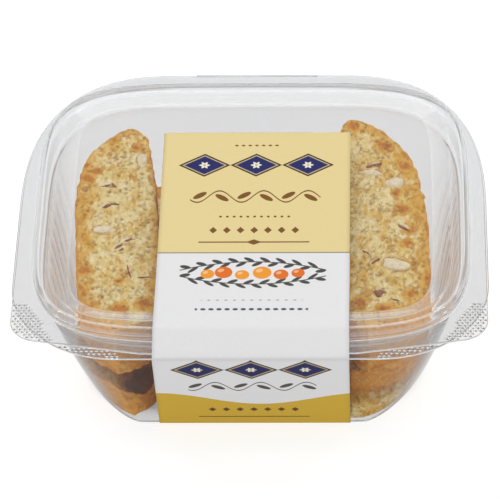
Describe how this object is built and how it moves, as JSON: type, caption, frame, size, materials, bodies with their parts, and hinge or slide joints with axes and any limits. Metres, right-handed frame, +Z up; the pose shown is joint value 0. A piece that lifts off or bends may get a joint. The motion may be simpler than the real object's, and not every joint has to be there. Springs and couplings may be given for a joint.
{
  "type": "pack of almond biscotti",
  "caption": "Shut clear plastic hinged pack of sliced almond biscotti, held closed by a wide paper label band over its lid, front and underside.",
  "frame": {"origin": "middle of the pack's underside, on the surface that it stands on", "axes": "+X across the pack, to the right of someone facing its front; -Y towards the front, where the label runs down and the thumb tabs are; +Y towards the hinge; +Z up through the lid"},
  "size_m": [0.1788, 0.1694, 0.0609],
  "materials": {
    "clear_sheet": "clear thermoformed plastic sheet, glossy on both sides",
    "label_paper": "smooth coated paper with a soft sheen, printed in cream, white, ochre and navy fields",
    "biscotti": "dry porous baked crumb, pale gold with browned crust and pale almond pieces"
  },
  "bodies": {
    "root": {"tub": "clear_sheet", "lid": "clear_sheet", "label": "label_paper", "slice_top_left": "biscotti", "slice_top_mid_left": "biscotti", "slice_top_mid_right": "biscotti", "slice_top_right": "biscotti", "slice_low_left": "biscotti", "slice_low_mid_left": "biscotti", "slice_low_mid_right": "biscotti", "slice_low_right": "biscotti"}
  },
  "joints": []
}
